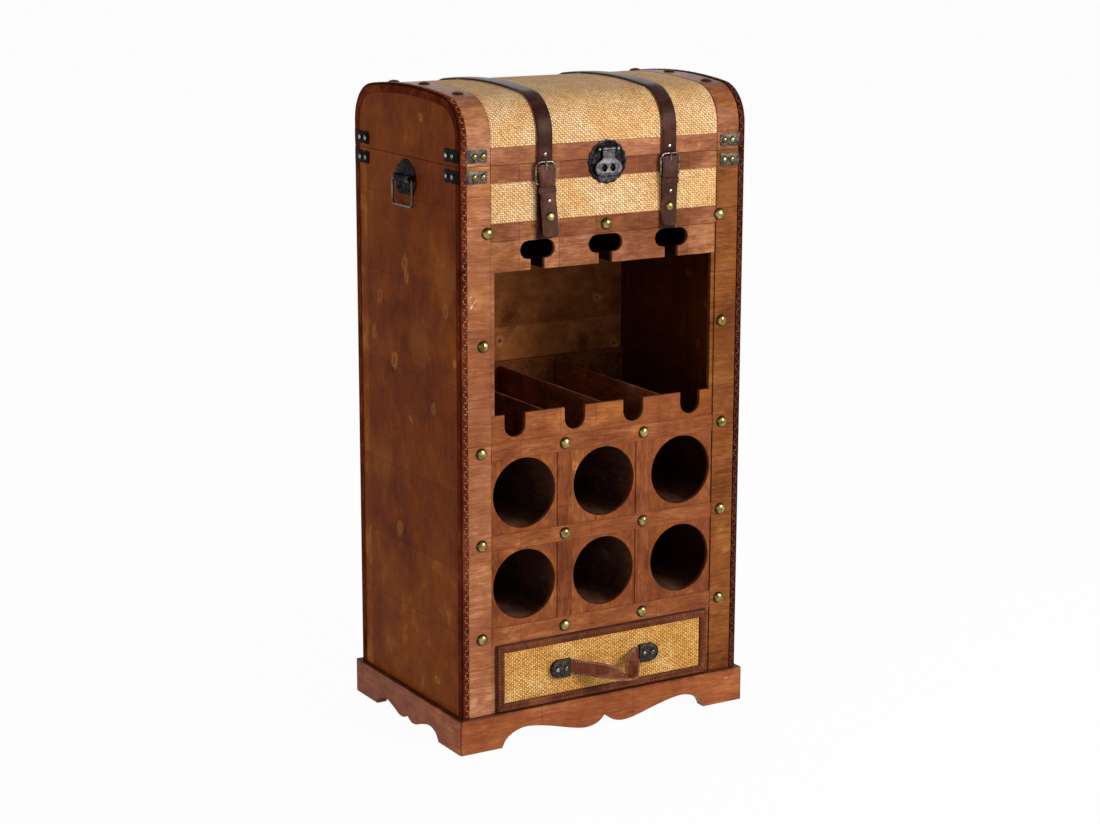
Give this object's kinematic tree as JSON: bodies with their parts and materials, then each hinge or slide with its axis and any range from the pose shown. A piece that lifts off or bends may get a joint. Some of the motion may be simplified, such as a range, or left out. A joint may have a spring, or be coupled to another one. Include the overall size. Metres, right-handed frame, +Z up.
{
  "type": "wine chest",
  "caption": "Trunk-topped wooden wine chest with a hinged lid, glass rack, bottle cradle, round bottle holes, a drawer, leather straps and iron side handles.",
  "frame": {"origin": "on the floor, at the middle of the box round the whole part, the drawer's handle included", "axes": "+X to the right as seen from the front, +Y from the front to the back, +Z up"},
  "size_m": [0.4446, 0.343, 0.8556],
  "materials": {
    "stained_wood": "stained and varnished",
    "dark_stained_wood": "dark stained and varnished",
    "panel_wood": "stained and varnished",
    "inner_wood": "stained",
    "woven_straw": "coarse weave",
    "brown_leather": "worn",
    "binding_leather": "worn",
    "dark_bronze": "dark patina",
    "black_iron": "black",
    "grey_steel": "aged"
  },
  "bodies": {
    "carcass": {"back_panel": "dark_stained_wood", "base_board": "inner_wood", "body_edge_binding_left": "binding_leather", "body_edge_binding_right": "binding_leather", "body_straw_panel": "woven_straw", "bottle_face_grid": "stained_wood", "bottle_rack": "inner_wood", "bottle_shelf_lower": "inner_wood", "chest_floor": "inner_wood", "cradle_dividers": "inner_wood", "cradle_floor": "inner_wood", "cradle_front": "panel_wood", "front_post_left": "stained_wood", "front_post_right": "stained_wood", "glass_hanger": "inner_wood", "glass_slot_panel": "panel_wood", "hinge_leaf_body_left": "dark_bronze", "hinge_leaf_body_right": "dark_bronze", "hole_panel_lower": "panel_wood", "hole_panel_upper": "panel_wood", "lock_plate_lower": "black_iron", "plinth_back": "stained_wood", "plinth_front": "stained_wood", "plinth_left": "stained_wood", "plinth_right": "stained_wood", "side_handle_plate_left": "black_iron", "side_handle_plate_right": "black_iron", "side_panel_left": "dark_stained_wood", "side_panel_right": "dark_stained_wood", "strap_anchor_left": "brown_leather", "strap_anchor_right": "brown_leather"},
    "lid": {"lid_end_left": "dark_stained_wood", "lid_end_right": "dark_stained_wood", "lid_shell": "dark_stained_wood", "lid_straw_cover": "woven_straw", "lid_facing": "stained_wood", "lid_edge_binding_left": "binding_leather", "lid_edge_binding_right": "binding_leather", "hinge_leaf_lid_left": "dark_bronze", "hinge_leaf_lid_right": "dark_bronze", "lid_strap_left": "brown_leather", "lid_strap_right": "brown_leather", "strap_buckle_left": "grey_steel", "strap_buckle_right": "grey_steel", "strap_tip_left": "brown_leather", "strap_tip_right": "brown_leather", "lock_plate_upper": "black_iron"},
    "hasp": {"lock_hasp": "grey_steel"},
    "drawer": {"drawer_front": "inner_wood", "drawer_side_left": "inner_wood", "drawer_side_right": "inner_wood", "drawer_back": "inner_wood", "drawer_bottom": "inner_wood", "drawer_straw_panel": "woven_straw", "drawer_leather_frame": "binding_leather", "drawer_handle_plate_left": "dark_bronze", "drawer_handle_plate_right": "dark_bronze", "drawer_handle_strap": "brown_leather"},
    "handle_left": {"side_handle_bail_left": "grey_steel"},
    "handle_right": {"side_handle_bail_right": "grey_steel"}
  },
  "joints": [
    {"name": "lid_hinge", "type": "hinge", "parent": "carcass", "child": "lid", "pos_m": [0, 0.16748, 0.7605], "axis": [-1, 0, 0], "range_deg": [0, 100]},
    {"name": "hasp_hinge", "type": "hinge", "parent": "lid", "child": "hasp", "pos_m": [0, -0.12712, 0.7725], "axis": [-1, 0, 0], "range_deg": [0, 110]},
    {"name": "drawer_slide", "type": "slide", "parent": "carcass", "child": "drawer", "axis": [0, -1, 0], "range_m": [0, 0.2]},
    {"name": "handle_left_hinge", "type": "hinge", "parent": "carcass", "child": "handle_left", "pos_m": [-0.21795, 0.02099, 0.733], "axis": [0, 1, 0], "range_deg": [0, 95]},
    {"name": "handle_right_hinge", "type": "hinge", "parent": "carcass", "child": "handle_right", "pos_m": [0.21795, 0.02099, 0.733], "axis": [0, -1, 0], "range_deg": [0, 95]}
  ]
}
